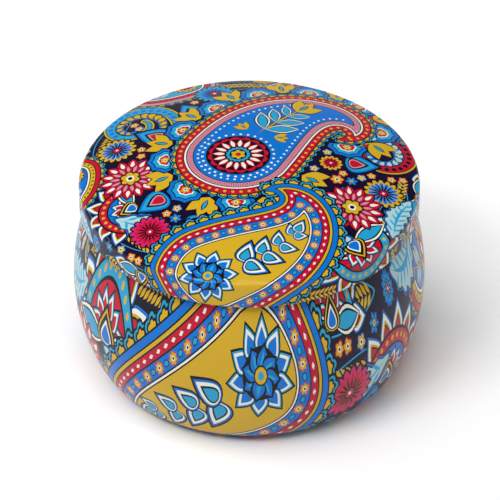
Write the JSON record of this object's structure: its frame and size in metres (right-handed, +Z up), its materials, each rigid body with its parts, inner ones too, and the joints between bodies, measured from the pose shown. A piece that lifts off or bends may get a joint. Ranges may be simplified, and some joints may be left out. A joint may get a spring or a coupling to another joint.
{
  "type": "drum-shaped spice tin",
  "caption": "Round drum-shaped drawn tin with a bulging body, a recessed base, a curled mouth and a shallow domed slip-over lid that lifts straight off.",
  "frame": {"origin": "centre of the standing ring, on the surface the tin stands on", "axes": "+Z up along the tin's axis of symmetry; the front of the print faces -Y and +X is to its right"},
  "size_m": [0.077, 0.077, 0.052],
  "materials": {
    "printed_body": "all-over folk-pattern print under gloss varnish, bare tinplate inside",
    "printed_lid": "all-over folk-pattern print under gloss varnish, bare tinplate inside"
  },
  "bodies": {
    "body": {"tin_body": "printed_body"},
    "lid": {"tin_lid": "printed_lid"}
  },
  "joints": [
    {"name": "lid_lift", "type": "slide", "parent": "body", "child": "lid", "axis": [0, 0, 1], "range_m": [0, 0.035]}
  ]
}
